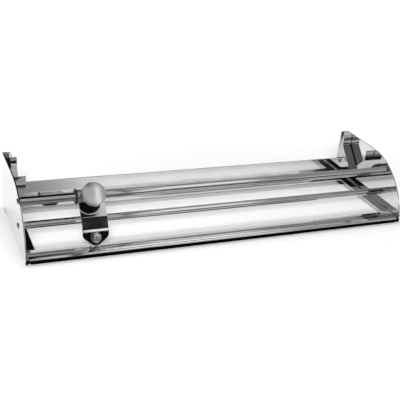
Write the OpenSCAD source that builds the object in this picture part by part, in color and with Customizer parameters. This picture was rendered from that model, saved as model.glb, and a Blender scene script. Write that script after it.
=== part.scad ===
// Cling film cutter: a stainless counter stand for a wide film roll, with two
// guide rods and a knobbed cutter carriage that slides and tips up on the upper rod.
// Millimetres. The part is drawn on a bench where X runs along the rods with zero
// in the middle, Y runs back from the face of the front lip, and Z runs up from the
// lower edges of the sheet. placed() then sets it on its feet, centred on the origin.

/* [Whole device] */
// Length over the outer faces of the two cheeks
overall_length = 500; // [400:1:620]
// Depth from the face of the front lip to the back of the rear flanges
overall_depth = 152; // [148:1:175]
// Height of the cheeks above the lower edges of the sheet
cheek_height = 73.6; // [72.8:0.1:84]
// Thickness of the folded sheet
sheet_t = 1.5; // [1.2:0.1:1.8]
// Inside radius of the folds in the sheet
fold_r = 0.8; // [0.4:0.1:1.2]

/* [Cheeks] */
// Radius of the curved front of a cheek
cheek_arc_r = 85.5; // [80:0.5:94]
// Height of the straight front edge below the curve
cheek_front_h = 5.5; // [3:0.5:9]
// Width of the flange folded in at the back of a cheek
flange_w = 12.4; // [11:0.2:13.4]
// Radius of the upper inner corner of that flange
flange_corner_r = 4; // [2:0.5:8]

/* [Base tray] */
// Height of the tray's top above the lower edge of its front lip
lip_h = 6.7; // [6:0.1:8]
// Width of the strip in front of the opening
front_strip_w = 20; // [18:0.5:24]
// Width of the strip behind the opening, to the back of the flanges
rear_strip_w = 24; // [20:0.5:28]
// Width of the side strips, from the outer face of the cheek
side_strip_w = 14.4; // [12:0.2:18]
// Height of the upper edge of the rear wall
wall_h = 32; // [28:0.5:40]
// Radius of the corners of the opening
opening_corner_r = 1.2; // [0.5:0.1:4]
// Gap between a side lip and the end of the front lip
lip_end_gap = 1.5; // [1.2:0.1:2.5]
// Width of the slot that relieves the corner between them
relief_w = 1; // [0.6:0.1:1.2]
// Depth of that slot from front to back
relief_depth = 4; // [3:0.1:5]
// Radius of the lower corners of the front lip
lip_corner_r = 2.6; // [1:0.1:4]

/* [Roll cradles] */
// Width of the bent strip that the roll rests in
cradle_w = 14; // [10:0.5:18]
// Distance of the cradle's front leg from the front lip
cradle_front_y = 80; // [76:0.5:84]
// Distance of the cradle's rear leg from the front lip
cradle_rear_y = 138; // [132:0.5:142]
// Distance of the bottom of the V from the front lip
cradle_bottom_y = 109; // [103:0.5:114]
// Height of the bottom of the V
cradle_bottom_h = 28; // [22:0.5:32]
// Height at which the slopes of the V meet the upright legs
cradle_shoulder_h = 57; // [50:0.5:62]
// Height of the upper ends of the legs
cradle_top_h = 71.8; // [68:0.2:72.6]
// Inside radius of the cradle's bends
cradle_bend_r = 1.5; // [0.8:0.1:3]

/* [Guide rods] */
// Diameter of the upper rod, which carries the cutter
upper_rod_d = 10; // [9:0.1:11]
// Diameter of the lower rod, which the film passes under
lower_rod_d = 8.5; // [7:0.1:10]
// Distance of both rods from the front lip
rod_y = 46; // [43:0.5:49]
// Height of the axis of the upper rod
upper_rod_h = 56.9; // [55:0.1:60]
// Height of the axis of the lower rod
lower_rod_h = 25.8; // [22:0.1:28]
// Diameter of the screws that hold the rods
rod_screw_d = 4; // [3:0.5:5]
// Diameter of the head of a rod screw
rod_screw_head_d = 7.6; // [7:0.1:8]
// Height of the head of a rod screw
rod_screw_head_h = 2.2; // [1.8:0.1:2.6]
// Length of a rod screw under its head
rod_screw_len = 12; // [8:0.5:16]
// Width across the flats of the socket in a rod screw
rod_screw_socket_w = 2.5; // [2:0.1:3]

/* [Feet and rivets] */
// Gap that the feet leave under the lower edges of the sheet
foot_gap = 0.8; // [0.5:0.1:2]
// Reach of a foot from the outer face of the cheek
foot_reach = 15.2; // [12:0.2:18]
// Depth of a foot from front to back
foot_w = 17; // [12:0.5:18]
// Distance of the front feet from the front lip
front_foot_y = 3; // [2.8:0.1:5]
// Distance of the front of the rear feet from the front lip
rear_foot_y = 127.5; // [112:0.5:129]
// Height of the tongue of a rear foot that shows in the notch of the cheek
foot_tongue_h = 1.3; // [1:0.1:2]
// Diameter of the rivets that join the rear wall to the flanges
rivet_d = 3.2; // [3:0.1:4]
// Diameter of a rivet's head
rivet_head_d = 6; // [5.5:0.1:7]
// Height of a rivet's head
rivet_head_h = 0.9; // [0.6:0.1:1.4]
// Height of a rivet's closed end behind the flange
rivet_tail_h = 1.2; // [0.8:0.1:1.6]
// Distance of a rivet from the outer face of the cheek
rivet_inset = 7.3; // [6.5:0.1:8]
// Distance of a rivet below the upper edge of the rear wall
rivet_drop = 3.9; // [3.6:0.1:8]

/* [Cutter carriage] */
// Distance of the middle of the carriage from the outer face of the left cheek
carriage_from_left = 84; // [60:1:300]
// Width of the cutter plate
plate_w = 31; // [28:0.5:33]
// Reach of the tube past the left edge of the cutter plate
tube_reach = 1; // [0.5:0.1:2]
// Wall of the tube that turns round the upper rod
tube_wall = 1.5; // [1:0.1:2]
// Wall of the plastic bushes in the tube
bush_wall = 1.4; // [1:0.1:2]
// Thickness of the flange of the left bush
bush_flange_t = 1.5; // [0.8:0.1:2]
// Reach of that flange past the outside of the tube
bush_rim = 1; // [0.4:0.1:1.5]
// Thickness of the narrow flange of the right bush, which ends level with the plate
narrow_flange_t = 1; // [0.6:0.1:1.5]
// Slope of the upper part of the cutter plate, below level
root_slope = 45; // [42:1:48]
// Slope of its middle part
middle_slope = 56; // [53:1:59]
// Slope of the blade holder at its lower end
tip_slope = 76; // [72:1:80]
// Distance of the upper fold from the rod's axis
root_len = 26.5; // [25:0.5:28]
// Length of the middle part
middle_len = 16; // [15:0.5:17]
// Inside radius of the lower fold
lower_fold_r = 8; // [4:0.5:10]
// Radius of the shoulders of the blade holder
shoulder_r = 5; // [3:0.5:6]
// Radius of the point of the blade holder
point_r = 8; // [6:0.5:9]

/* [Knob] */
// Diameter of the knob
knob_d = 28.5; // [26:0.5:31]
// Thickness of the knob at its rim
knob_t = 6; // [5:0.5:8]
// Rise of the domed face over the rim
knob_dome_h = 1.4; // [0.6:0.1:2.5]
// Gap between the tube and the back of the knob
knob_gap = 5; // [3:0.1:7]
// Distance of the knob's axis from the rod's axis, down the cutter plate
knob_offset = 4.2; // [3:0.1:4.2]
// Diameter of the post that carries the knob
post_d = 7; // [6:0.5:7.5]
// Diameter of the threaded end of the post
post_stud_d = 5; // [4:0.5:5.5]

/* [Blade] */
// Width of the blade
blade_w = 14; // [12:0.5:15]
// Thickness of the blade
blade_t = 0.6; // [0.4:0.1:0.8]
// Thickness of the clamp behind the blade
clamp_t = 1.5; // [1:0.1:2]
// Diameter of the blade screw
blade_screw_d = 6; // [5:0.5:6]
// Diameter of the head of the blade screw
blade_screw_head_d = 12.4; // [11.5:0.1:12.8]
// Height of the head of the blade screw
blade_screw_head_h = 4.2; // [3.5:0.1:5]
// Distance of the blade screw from the lower fold
blade_screw_drop = 8.4; // [7.8:0.1:9]
// Width across the flats of the blade nut
nut_w = 10; // [9:0.5:11]
// Thickness of the blade nut
nut_t = 5; // [4:0.1:6]
// Thickness of the washer under the nut
washer_t = 1.6; // [1:0.1:2]

/* [Fits] */
// Radial running clearance of the bushes on the rod and in the tube
running_fit = 0.05; // [0.03:0.01:0.08]
// Radial clearance of a screw in a clearance hole
screw_clearance = 0.2; // [0.1:0.05:0.3]
// Radial gap that stands for a thread
thread_gap = 0.05; // [0.03:0.01:0.1]
// Gap between the tube's ends and the bush flanges
end_play = 0.3; // [0.2:0.05:0.5]
// Gap between the resting blade holder and the tray
rest_gap = 0.3; // [0.2:0.05:0.5]
// Gap round a foot where it passes the sheet
foot_clearance = 0.2; // [0.1:0.05:0.4]

/* [Hidden] */
$fn = 64;

// Overrun of every cut past the face that it starts from
overrun = 1;
// Number of flats in a fold
fold_steps = 8;
// Number of points along the rounded edges of the knob and the screw heads
edge_steps = 8;

// Places worked out from the sizes above
left_face = -overall_length / 2;
mid_y = (overall_depth + rivet_tail_h) / 2;
inner_length = overall_length - 2 * sheet_t;
tray_under_h = lip_h - sheet_t;
wall_mid_y = overall_depth - 1.5 * sheet_t;
wall_face_y = overall_depth - 2 * sheet_t;
opening_rear_y = overall_depth - rear_strip_w;
lip_half = overall_length / 2 - 2 * sheet_t - lip_end_gap;
strip_mid_h = lip_h - sheet_t / 2;
rivet_h = wall_h - rivet_drop;
cheek_arc_h = cheek_height - cheek_arc_r;
cheek_arc_y = sqrt(pow(cheek_arc_r, 2) - pow(cheek_front_h - cheek_arc_h, 2));
upper_axis = [rod_y, upper_rod_h];
lower_axis = [rod_y, lower_rod_h];

// The stack of round parts on the upper rod
bush_bore_r = upper_rod_d / 2 + running_fit;
bush_r = bush_bore_r + bush_wall;
tube_bore_r = bush_r + running_fit;
tube_r = tube_bore_r + tube_wall;
carriage_x = left_face + carriage_from_left;
plate_left = carriage_x - plate_w / 2;
plate_right = carriage_x + plate_w / 2;
tube_left = plate_left - tube_reach;
tube_len = plate_right - narrow_flange_t - end_play - tube_left;
bushes_meet_x = tube_left + tube_len / 2;

// The middle line of the cutter plate, from the rod's axis to its point
root_heading = 180 + root_slope;
middle_heading = 180 + middle_slope;
tip_heading = 180 + tip_slope;
upper_fold = polar(upper_axis, root_len, root_heading);
lower_fold = polar(upper_fold, middle_len, middle_heading);
plate_low_h = lip_h + rest_gap + sheet_t / 2 * cos(tip_slope);
tip_len = (lower_fold[1] - plate_low_h) / sin(tip_slope);
plate_end = polar(lower_fold, tip_len, tip_heading);

// The knob, measured from the rod's axis along its own axis
knob_back_h = tube_r + knob_gap;
knob_edge_r = knob_t / 4;
post_stud_len = knob_t - knob_edge_r;

// The clamped stack behind the blade holder, measured from its middle
holder_back = -sheet_t / 2;
clamp_front = holder_back - blade_t;
washer_front = clamp_front - clamp_t;
nut_front = washer_front - washer_t;
blade_screw_end = nut_front - nut_t - sheet_t / 2;
blade_top_drop = (lower_fold_r + sheet_t / 2) * tan((tip_slope - middle_slope) / 2);
blade_point_drop = tip_len - blade_t - rest_gap / 2;
blade_shoulder_drop = blade_point_drop - blade_w / 2;
clamp_end_drop = blade_screw_drop + nut_w / 2;
clamp_w = blade_w * 0.9;

// A foot's tongue and the notch that it shows in
notch_h = foot_tongue_h + foot_clearance;
tongue_w = foot_w - 2 * foot_clearance;

// Point at distance r and angle a from point c
function polar(c, r, a) = c + r * [cos(a), sin(a)];

// Angle of the leg from point p to point q
function heading(p, q) = atan2(q[1] - p[1], q[0] - p[0]);

// Turn from heading a to heading b, between -180 and 180
function turn(a, b) = (b - a) > 180 ? b - a - 360 : (b - a) < -180 ? b - a + 360 : b - a;

// Points of an arc round c from angle a to angle b
function arc(c, r, a, b, steps) = [for (i = [0 : steps]) polar(c, r, a + (b - a) * i / steps)];

// One edge of a fold at point v between points p and q: side 1 is the left edge, -1 the right
function fold_edge(p, v, q, t, r, side) =
    let (a = heading(p, v))
    let (w = turn(a, heading(v, q)))
    let (s = sign(w))
    let (c = polar(v, (r + t / 2) / cos(w / 2), a + w / 2 + 90 * s))
    arc(c, r + t / 2 - s * side * t / 2, a - 90 * s, a - 90 * s + w, fold_steps);

// One edge of a folded strip whose middle line is path, with a fold radius for each inner point
function strip_edge(path, t, radii, side) = [
    polar(path[0], t / 2, heading(path[0], path[1]) + 90 * side),
    for (i = [1 : len(path) - 2])
        each fold_edge(path[i - 1], path[i], path[i + 1], t, radii[i - 1], side),
    polar(path[len(path) - 1], t / 2, heading(path[len(path) - 2], path[len(path) - 1]) + 90 * side)
];

// Points in the opposite order
function reversed(points) = [for (i = [len(points) - 1 : -1 : 0]) points[i]];

// Section of a folded sheet strip
module folded_strip(path, t, radii) {
    polygon(concat(strip_edge(path, t, radii, 1), reversed(strip_edge(path, t, radii, -1))));
}

// Sets the bench drawing on its feet, centred on the origin
module placed() {
    translate([0, -mid_y, foot_gap]) children();
}

// A section in Y and Z, drawn out along X
module along_x(x, len) {
    translate([x, 0, 0]) rotate([90, 0, 90]) linear_extrude(len) children();
}

// A section in X and Z, drawn out along Y
module along_y(y, len) {
    translate([0, y + len, 0]) rotate([90, 0, 0]) linear_extrude(len) children();
}

// A round bar along X on an axis given in Y and Z
module bar_x(x, len, r, axis) {
    translate([x, axis[0], axis[1]]) rotate([0, 90, 0]) cylinder(h = len, r = r);
}

// A tube along X on an axis given in Y and Z
module tube_x(x, len, r, bore, axis) {
    difference() {
        bar_x(x, len, r, axis);
        bar_x(x - overrun, len + 2 * overrun, bore, axis);
    }
}

// The corner of side r that a round of radius r takes off, with its point at zero
module corner_cut(r) {
    difference() {
        translate([-overrun, -overrun]) square(r + overrun);
        translate([r, r]) circle(r);
    }
}

// Side view of a cheek: an arc at the front that runs into a level top
module cheek_outline() {
    intersection() {
        translate([cheek_arc_y, cheek_arc_h]) circle(cheek_arc_r, $fn = 128);
        square([cheek_arc_y + overrun, cheek_height]);
    }
    translate([cheek_arc_y, 0]) square([overall_depth - cheek_arc_y, cheek_height]);
}

// Left cheek: a plate with a flange folded in at the back
module cheek() {
    plate_x = left_face + sheet_t / 2;
    flange_mid_y = overall_depth - sheet_t / 2;
    plan = [[plate_x, 0], [plate_x, flange_mid_y], [left_face + flange_w, flange_mid_y]];
    difference() {
        intersection() {
            linear_extrude(cheek_height) folded_strip(plan, sheet_t, [fold_r]);
            along_x(left_face, flange_w) cheek_outline();
        }
        along_y(overall_depth - sheet_t - overrun, sheet_t + 2 * overrun)
            translate([left_face + flange_w, cheek_height]) rotate(180) corner_cut(flange_corner_r);
        bar_x(left_face - overrun, sheet_t + 2 * overrun, rod_screw_d / 2 + screw_clearance, upper_axis);
        bar_x(left_face - overrun, sheet_t + 2 * overrun, rod_screw_d / 2 + screw_clearance, lower_axis);
        foot_notch(left_face - overrun, sheet_t + 2 * overrun);
        rivet_hole();
    }
}

// The notch in the lower edge of the sheet for the tongue of a rear foot
module foot_notch(x, len) {
    translate([x, rear_foot_y, -overrun]) cube([len, foot_w, notch_h + overrun]);
}

// The hole of the left rivet, through the rear wall and the flange
module rivet_hole() {
    translate([left_face + rivet_inset, overall_depth + overrun, rivet_h]) rotate([90, 0, 0])
        cylinder(h = 2 * sheet_t + 2 * overrun, r = rivet_d / 2 + thread_gap);
}

// Base tray: front lip, strips round the opening, side lips and rear wall from one sheet
module tray() {
    section = [
        [sheet_t / 2, 0],
        [sheet_t / 2, strip_mid_h],
        [wall_mid_y, strip_mid_h],
        [wall_mid_y, wall_h]
    ];
    difference() {
        union() {
            along_x(-lip_half, 2 * lip_half) folded_strip(section, sheet_t, [fold_r, fold_r]);
            tray_end();
            mirror([1, 0, 0]) tray_end();
        }
        translate([0, front_strip_w, tray_under_h - overrun])
            linear_extrude(sheet_t + 2 * overrun) opening_outline();
        tray_end_cuts();
        mirror([1, 0, 0]) tray_end_cuts();
    }
}

// Plan of the opening in the tray, with its front edge at zero
module opening_outline() {
    half = overall_length / 2 - side_strip_w;
    depth = opening_rear_y - front_strip_w;
    difference() {
        translate([-half, 0]) square([2 * half, depth]);
        translate([-half, 0]) corner_cut(opening_corner_r);
        translate([half, 0]) rotate(90) corner_cut(opening_corner_r);
        translate([half, depth]) rotate(180) corner_cut(opening_corner_r);
        translate([-half, depth]) rotate(270) corner_cut(opening_corner_r);
    }
}

// Left end of the tray: the lip that lies against the cheek, and the end of the rear wall
module tray_end() {
    lip_mid_x = left_face + 1.5 * sheet_t;
    join_x = sheet_t - lip_half;
    wall_end_h = lip_h + fold_r;
    section = [[lip_mid_x, 0], [lip_mid_x, strip_mid_h], [join_x, strip_mid_h]];
    difference() {
        along_y(0, wall_face_y - fold_r) folded_strip(section, sheet_t, [fold_r]);
        translate([-lip_half - relief_w, -overrun, -overrun])
            cube([relief_w + 2 * sheet_t, overrun + relief_depth, lip_h + 2 * overrun]);
    }
    translate([left_face + sheet_t, wall_face_y, wall_end_h])
        cube([join_x - left_face - sheet_t, sheet_t, wall_h - wall_end_h]);
}

// Rounded lip corner, rivet hole and foot notch at the left end of the tray
module tray_end_cuts() {
    along_y(-overrun, sheet_t + overrun) translate([-lip_half, 0]) corner_cut(lip_corner_r);
    rivet_hole();
    foot_notch(left_face + sheet_t - overrun, sheet_t + 2 * overrun);
}

// Left roll cradle: a strip bent to a V with two upright legs, edge-welded to the cheek
module cradle() {
    path = [
        [cradle_front_y, cradle_top_h],
        [cradle_front_y, cradle_shoulder_h],
        [cradle_bottom_y, cradle_bottom_h],
        [cradle_rear_y, cradle_shoulder_h],
        [cradle_rear_y, cradle_top_h]
    ];
    along_x(left_face + sheet_t, cradle_w)
        folded_strip(path, sheet_t, [cradle_bend_r, cradle_bend_r, cradle_bend_r]);
}

// A guide rod with a tapped hole in each end
module rod(d, axis) {
    hole_len = rod_screw_len - sheet_t + overrun;
    difference() {
        bar_x(left_face + sheet_t, inner_length, d / 2, axis);
        for (side = [-1, 1]) {
            end_x = side * inner_length / 2;
            bar_x(end_x - hole_len, 2 * hole_len, rod_screw_d / 2 + thread_gap, axis);
        }
    }
}

// Half section of a low domed head whose seat is at zero
function dome_head(r, h, edge_r) = concat(
    [[0, 0]],
    arc([r - edge_r, edge_r], edge_r, -90, 0, edge_steps),
    [for (i = [1 : edge_steps]) let (a = 90 * i / edge_steps) [r * cos(a), edge_r + (h - edge_r) * sin(a)]]
);

// A socket button screw with its seat at zero, its head up and its shank down
module button_screw() {
    edge_r = rod_screw_head_h / 8;
    socket_depth = rod_screw_head_h * 0.6;
    difference() {
        union() {
            rotate_extrude() polygon(dome_head(rod_screw_head_d / 2, rod_screw_head_h, edge_r));
            translate([0, 0, -rod_screw_len]) cylinder(h = rod_screw_len + edge_r, r = rod_screw_d / 2);
        }
        translate([0, 0, rod_screw_head_h - socket_depth])
            cylinder(h = socket_depth + overrun, d = rod_screw_socket_w / cos(30), $fn = 6);
    }
}

// The two screws in the left cheek
module cheek_screws() {
    for (axis = [upper_axis, lower_axis])
        translate([left_face, axis[0], axis[1]]) rotate([0, -90, 0]) button_screw();
}

// The left blind rivet: a flat head in front of the wall and a closed end behind the flange
module rivet() {
    mandrel_r = rivet_d / 4;
    head_r = rivet_head_d / 2;
    translate([left_face + rivet_inset, wall_face_y, rivet_h]) rotate([-90, 0, 0]) difference() {
        union() {
            translate([0, 0, -rivet_head_h]) cylinder(h = rivet_head_h, r1 = head_r * 0.8, r2 = head_r);
            cylinder(h = 2 * sheet_t, r = rivet_d / 2);
            translate([0, 0, 2 * sheet_t]) cylinder(h = rivet_tail_h, r = rivet_d * 0.7);
        }
        translate([0, 0, -rivet_head_h - overrun]) cylinder(h = rivet_head_h / 2 + overrun, r = mandrel_r);
    }
}

// A rubber foot under the left end of the tray: the rear ones have a tongue in the cheek's notch
module foot(y, tongue) {
    body_x = left_face + 2 * sheet_t + foot_clearance;
    translate([body_x, y, -foot_gap])
        cube([foot_reach - 2 * sheet_t - foot_clearance, foot_w, foot_gap + tray_under_h]);
    if (tongue)
        translate([left_face + foot_clearance, y + foot_clearance, -foot_gap])
            cube([2 * sheet_t + overrun, tongue_w, foot_gap + foot_tongue_h]);
}

// The left plastic bush: half of the bearing in the tube, with a wide flange
module left_bush() {
    flange_x = tube_left - end_play;
    tube_x(flange_x, bushes_meet_x - flange_x, bush_r, bush_bore_r, upper_axis);
    tube_x(flange_x - bush_flange_t, bush_flange_t, tube_r + bush_rim, bush_bore_r, upper_axis);
}

// The right plastic bush, whose narrow flange turns clear of the plate's end
module right_bush() {
    flange_x = plate_right - narrow_flange_t;
    tube_x(bushes_meet_x, flange_x - bushes_meet_x, bush_r, bush_bore_r, upper_axis);
    tube_x(flange_x, narrow_flange_t, tube_r - end_play, bush_bore_r, upper_axis);
}

// Tube that turns on the two bushes
module sliding_tube() {
    tube_x(tube_left, tube_len, tube_r, tube_bore_r, upper_axis);
}

// Frame of the knob: Z runs out from the rod's axis, square to the upper part of the plate
module knob_frame() {
    translate([carriage_x, upper_axis[0], upper_axis[1]]) rotate([root_slope, 0, 0])
        translate([0, -knob_offset, 0]) children();
}

// Frame of the blade holder: Y runs up the plate from the lower fold, Z out of its front
module tip_frame() {
    translate([carriage_x, lower_fold[0], lower_fold[1]]) rotate([tip_slope, 0, 0]) children();
}

// Outline of the blade holder: two shoulders that run in to a rounded point
module holder_outline() {
    shoulder = [plate_w / 2 - shoulder_r, -shoulder_r];
    point = [0, point_r - tip_len];
    run = heading(shoulder, point);
    gap = norm(point - shoulder);
    flank = run + acos((shoulder_r - point_r) / gap);
    edge = [polar(shoulder, shoulder_r, flank), polar(point, point_r, flank)];
    for (side = [-1, 1]) translate([side * shoulder[0], shoulder[1]]) circle(shoulder_r);
    translate(point) circle(point_r);
    polygon([
        [-plate_w / 2, shoulder[1]],
        [-plate_w / 2, plate_w],
        [plate_w / 2, plate_w],
        [plate_w / 2, shoulder[1]],
        edge[0],
        edge[1],
        point,
        [-edge[1][0], edge[1][1]],
        [-edge[0][0], edge[0][1]]
    ]);
}

// Cutter plate: it runs from the tube down to the tray in two folds and ends in the blade holder
module cutter_plate() {
    path = [upper_axis, upper_fold, lower_fold, plate_end];
    difference() {
        along_x(plate_left, plate_w) folded_strip(path, sheet_t, [fold_r, lower_fold_r]);
        bar_x(plate_left - overrun, plate_w + 2 * overrun, tube_r, upper_axis);
        tip_frame() translate([0, 0, -sheet_t]) linear_extrude(2 * sheet_t) difference() {
            translate([-plate_w, -2 * tip_len]) square([2 * plate_w, 2 * tip_len - shoulder_r]);
            holder_outline();
        }
        blade_screw_hole();
    }
}

// The hole for the blade screw, from in front of the holder to the washer
module blade_screw_hole() {
    tip_frame() translate([0, -blade_screw_drop, washer_front - overrun])
        cylinder(h = sheet_t - washer_front + overrun, r = blade_screw_d / 2 + screw_clearance);
}

// Post welded to the tube, with a threaded end that the knob is screwed on to
module post() {
    difference() {
        knob_frame() {
            cylinder(h = knob_back_h, r = post_d / 2);
            cylinder(h = knob_back_h + post_stud_len, r = post_stud_d / 2);
        }
        bar_x(tube_left, tube_len, tube_r, upper_axis);
    }
}

// Half section of the knob with its back at zero: two rounded edges and a domed face
function knob_section() =
    let (rim = knob_d / 2 - knob_edge_r)
    let (face = polar([rim, knob_t - knob_edge_r], knob_edge_r, 60))
    let (rise = knob_t + knob_dome_h - face[1])
    concat(
        [[0, 0]],
        arc([rim, knob_edge_r], knob_edge_r, -90, 0, edge_steps),
        arc([rim, knob_t - knob_edge_r], knob_edge_r, 0, 60, edge_steps),
        [for (i = [1 : edge_steps]) let (u = 1 - i / edge_steps) [u * face[0], face[1] + rise * (1 - u * u)]]
    );

// Turned knob with a domed face and a blind tapped hole in its back
module turned_knob() {
    knob_frame() translate([0, 0, knob_back_h]) difference() {
        rotate_extrude() polygon(knob_section());
        translate([0, 0, -overrun])
            cylinder(h = overrun + post_stud_len + thread_gap, r = post_stud_d / 2 + thread_gap);
    }
}

// Blade: a flat plate with two ground edges that meet at a point
module flat_blade() {
    half = blade_w / 2;
    difference() {
        tip_frame() translate([0, 0, clamp_front]) linear_extrude(blade_t) polygon([
            [-half, -blade_top_drop],
            [half, -blade_top_drop],
            [half, -blade_shoulder_drop],
            [0, -blade_point_drop],
            [-half, -blade_shoulder_drop]
        ]);
        blade_screw_hole();
    }
}

// Clamp that presses the blade to the back of its holder
module clamp() {
    difference() {
        tip_frame() translate([-clamp_w / 2, -clamp_end_drop, washer_front])
            cube([clamp_w, clamp_end_drop - blade_top_drop, clamp_t]);
        blade_screw_hole();
    }
}

// Pan-head screw with a cross recess, from the front of the blade holder to the nut
module pan_screw() {
    recess_w = blade_screw_d / 5;
    recess_len = blade_screw_head_d / 2;
    recess_depth = blade_screw_head_h / 2;
    edge_r = blade_screw_head_h / 4;
    seat = sheet_t / 2;
    tip_frame() translate([0, -blade_screw_drop, 0]) difference() {
        union() {
            translate([0, 0, seat]) rotate_extrude()
                polygon(dome_head(blade_screw_head_d / 2, blade_screw_head_h, edge_r));
            translate([0, 0, blade_screw_end])
                cylinder(h = seat + edge_r - blade_screw_end, r = blade_screw_d / 2);
        }
        for (a = [0, 90])
            translate([0, 0, seat + blade_screw_head_h]) rotate(a)
                cube([recess_len, recess_w, 2 * recess_depth], center = true);
    }
}

// Washer between the clamp and the nut
module plain_washer() {
    bore_r = blade_screw_d / 2 + screw_clearance;
    tip_frame() translate([0, -blade_screw_drop, nut_front]) difference() {
        cylinder(h = washer_t, r = nut_w / 2 + screw_clearance);
        translate([0, 0, -overrun]) cylinder(h = washer_t + 2 * overrun, r = bore_r);
    }
}

// Hexagon nut on the end of the blade screw
module hex_nut() {
    tip_frame() translate([0, -blade_screw_drop, nut_front - nut_t]) difference() {
        cylinder(h = nut_t, d = nut_w / cos(30), $fn = 6);
        translate([0, 0, -overrun]) cylinder(h = nut_t + 2 * overrun, r = blade_screw_d / 2 + thread_gap);
    }
}

// The named pieces
module base_tray() { color("#c9cccf") placed() tray(); }
module left_cheek() { color("#d4d6d8") placed() cheek(); }
module right_cheek() { color("#d4d6d8") placed() mirror([1, 0, 0]) cheek(); }
module left_cradle() { color("#8f9296") placed() cradle(); }
module right_cradle() { color("#8f9296") placed() mirror([1, 0, 0]) cradle(); }
module upper_rod() { color("#9a9da0") placed() rod(upper_rod_d, upper_axis); }
module lower_rod() { color("#9a9da0") placed() rod(lower_rod_d, lower_axis); }
module left_rod_screws() { color("#b9bcbf") placed() cheek_screws(); }
module right_rod_screws() { color("#b9bcbf") placed() mirror([1, 0, 0]) cheek_screws(); }
module wall_rivets() { color("#b0b3b6") placed() { rivet(); mirror([1, 0, 0]) rivet(); } }
module front_left_foot() { color("#1c1d1f") placed() foot(front_foot_y, false); }
module front_right_foot() { color("#1c1d1f") placed() mirror([1, 0, 0]) foot(front_foot_y, false); }
module rear_left_foot() { color("#1c1d1f") placed() foot(rear_foot_y, true); }
module rear_right_foot() { color("#1c1d1f") placed() mirror([1, 0, 0]) foot(rear_foot_y, true); }
module left_slide_bush() { color("#202124") placed() left_bush(); }
module right_slide_bush() { color("#202124") placed() right_bush(); }
module slide_tube() { color("#c4c7ca") placed() sliding_tube(); }
module carriage_plate() { color("#b4b7ba") placed() cutter_plate(); }
module knob_post() { color("#6e7174") placed() post(); }
module knob() { color("#a8abae") placed() turned_knob(); }
module blade() { color("#cfd2d5") placed() flat_blade(); }
module blade_clamp() { color("#8a8d90") placed() clamp(); }
module blade_screw() { color("#dcdee0") placed() pan_screw(); }
module blade_washer() { color("#c2c5c8") placed() plain_washer(); }
module blade_nut() { color("#a2a5a8") placed() hex_nut(); }

base_tray();
left_cheek();
right_cheek();
left_cradle();
right_cradle();
upper_rod();
lower_rod();
left_rod_screws();
right_rod_screws();
wall_rivets();
front_left_foot();
front_right_foot();
rear_left_foot();
rear_right_foot();
left_slide_bush();
right_slide_bush();
slide_tube();
carriage_plate();
knob_post();
knob();
blade();
blade_clamp();
blade_screw();
blade_washer();
blade_nut();
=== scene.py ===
"""The looks of a counter stand for cling film, with its sliding cutter.

Polished stainless sheet shows little of itself and much of what stands round it, so the
studio matters as much as the finishes. Every length here is in metres, and MM turns a real
size in millimetres into it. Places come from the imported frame's own boxes.
"""

import math

import bmesh
import bpy
from mathutils import Matrix, Vector


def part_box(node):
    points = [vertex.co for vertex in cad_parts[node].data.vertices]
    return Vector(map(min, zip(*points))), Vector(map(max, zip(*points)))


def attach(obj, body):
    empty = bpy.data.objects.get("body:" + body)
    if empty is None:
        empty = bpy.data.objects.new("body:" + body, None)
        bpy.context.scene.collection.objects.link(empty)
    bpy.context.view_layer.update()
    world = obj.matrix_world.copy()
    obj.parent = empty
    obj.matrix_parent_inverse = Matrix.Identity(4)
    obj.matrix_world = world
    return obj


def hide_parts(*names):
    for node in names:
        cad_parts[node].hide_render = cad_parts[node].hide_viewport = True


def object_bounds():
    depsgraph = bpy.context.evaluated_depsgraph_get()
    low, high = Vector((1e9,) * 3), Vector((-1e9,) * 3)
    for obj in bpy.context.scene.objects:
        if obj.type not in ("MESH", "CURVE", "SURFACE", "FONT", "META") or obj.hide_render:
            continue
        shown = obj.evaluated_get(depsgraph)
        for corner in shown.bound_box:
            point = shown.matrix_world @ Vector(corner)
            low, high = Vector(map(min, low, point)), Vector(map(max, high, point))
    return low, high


MM = 0.001

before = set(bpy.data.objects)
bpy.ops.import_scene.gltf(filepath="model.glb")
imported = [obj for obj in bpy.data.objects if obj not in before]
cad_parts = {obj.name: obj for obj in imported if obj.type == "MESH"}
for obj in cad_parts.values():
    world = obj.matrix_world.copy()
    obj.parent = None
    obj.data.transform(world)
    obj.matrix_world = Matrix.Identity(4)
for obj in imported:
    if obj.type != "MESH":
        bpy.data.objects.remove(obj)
cad_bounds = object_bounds()

# Edges that turn by more degrees than this are cut edges, and the rest are folds
FOLD_ANGLE = 32.0
# Points closer than this are the same point
SAME_POINT = 0.001 * MM

# Sizes of the real pieces, in millimetres
SHEET_T = 1.5
CUT_EDGE_R = 0.16
ROD_SIDES = 96
SCREW_D = 4.0
SCREW_HEAD_D = 7.6
SCREW_HEAD_H = 2.2
SCREW_LEN = 12.0
SOCKET_W = 2.5
SOCKET_DEPTH = 1.32
WELD_R = 1.2
WELD_STEP = 0.8
RIVET_HEAD_D = 6.0
RIVET_HEAD_H = 0.9
RIVET_D = 3.2
RIVET_TAIL_H = 1.2
TUBE_BORE_D = 13.0
BUSH_BORE_D = 10.1
BUSH_WALL_D = 12.9
LEFT_FLANGE_T = 1.5
RIGHT_FLANGE_T = 1.0
KNOB_D = 28.5
KNOB_T = 6.0
KNOB_RISE = 1.4
KNOB_EDGE_R = 1.5
KNOB_THREAD_D = 5.1
KNOB_THREAD_DEPTH = 4.5
# Below this height the knob is black, which paints the shade on its back and low rim
KNOB_SHADE_H = 2.6

# Turn of the upper part of the cutter plate about the rod's axis
ROOT_SLOPE = math.radians(45.0)
# Place of the knob's back from the rod's axis, down the plate and out from it
KNOB_OFFSET = 4.2
KNOB_BACK_H = 13.0


# Small helpers


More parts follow.
